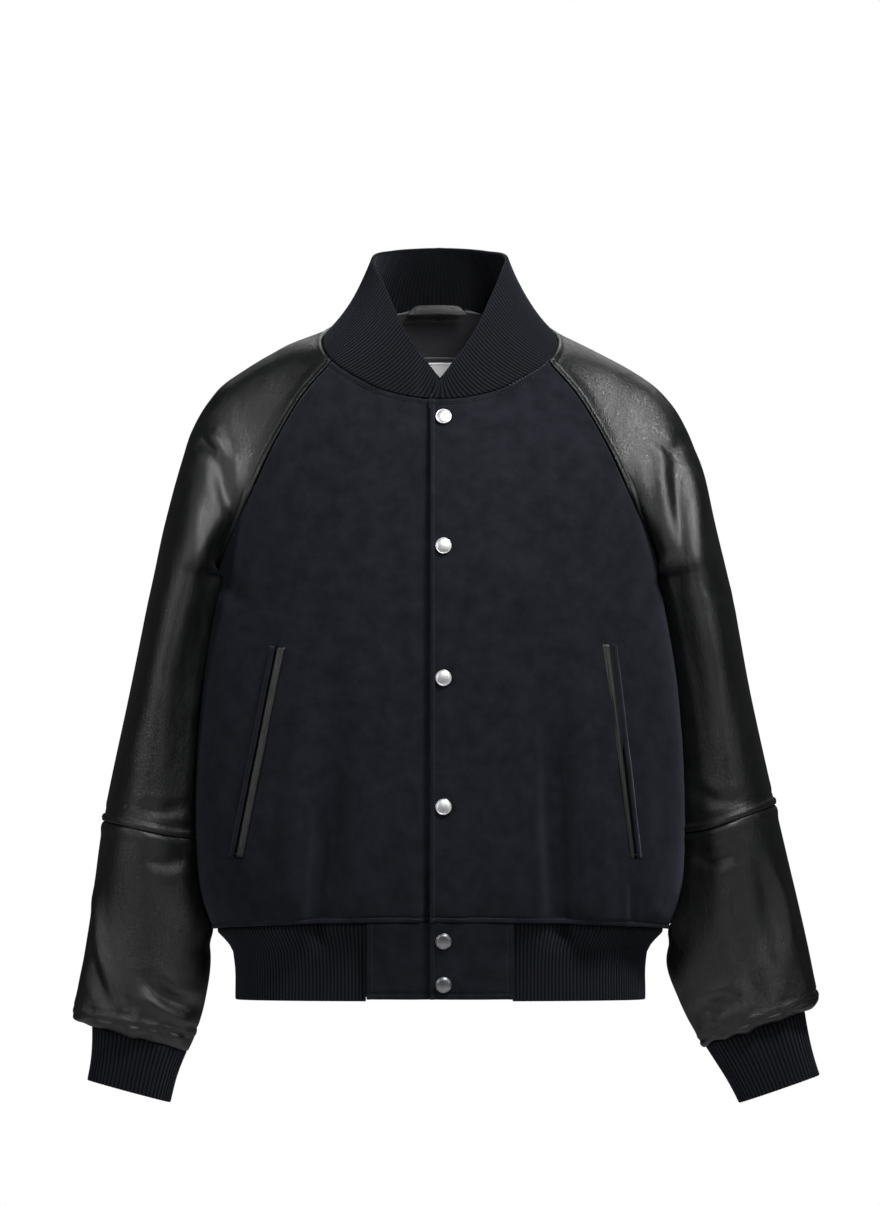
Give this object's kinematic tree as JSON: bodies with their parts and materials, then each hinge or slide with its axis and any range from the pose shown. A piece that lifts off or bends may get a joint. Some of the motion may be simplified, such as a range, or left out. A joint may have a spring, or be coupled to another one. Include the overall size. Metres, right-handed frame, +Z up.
{
  "type": "varsity jacket",
  "caption": "Filled-out varsity jacket with a wool body, leather raglan sleeves, slanted leather-edged pockets, snap front and rib-knit collar, cuffs and hem.",
  "frame": {"origin": "where the shoulders carry the jacket: on its centre line, level with the neck ends of the shoulders", "axes": "+Z up; the front faces -Y; +X towards the wearer's left"},
  "size_m": [0.7219, 0.2722, 0.8261],
  "materials": {
    "wool": "very dark navy wool melton with a soft nap",
    "leather": "black fine-grained leather, semi-gloss",
    "rib": "dark navy rib knit",
    "satin": "dark satin lining",
    "label": "plain light grey woven label",
    "snap": "bright polished steel",
    "snap_dark": "darker steel"
  },
  "bodies": {
    "root": {"back": "wool", "back_lining": "satin", "collar": "rib", "cuff_left": "rib", "cuff_right": "rib", "front_left": "wool", "front_right": "wool", "hanger_loop": "leather", "hem_rib": "rib", "hem_tab_left": "wool", "hem_tab_right": "wool", "label": "label", "neck_facing": "satin", "pocket_welt_left": "leather", "pocket_welt_right": "leather", "sleeve_left_lower_back": "leather", "sleeve_left_lower_front": "leather", "sleeve_left_upper_back": "leather", "sleeve_left_upper_front": "leather", "sleeve_right_lower_back": "leather", "sleeve_right_lower_front": "leather", "sleeve_right_upper_back": "leather", "sleeve_right_upper_front": "leather", "snap_1": "snap", "snap_2": "snap", "snap_3": "snap", "snap_4": "snap", "snap_5": "snap_dark", "snap_6": "snap_dark"}
  },
  "joints": []
}
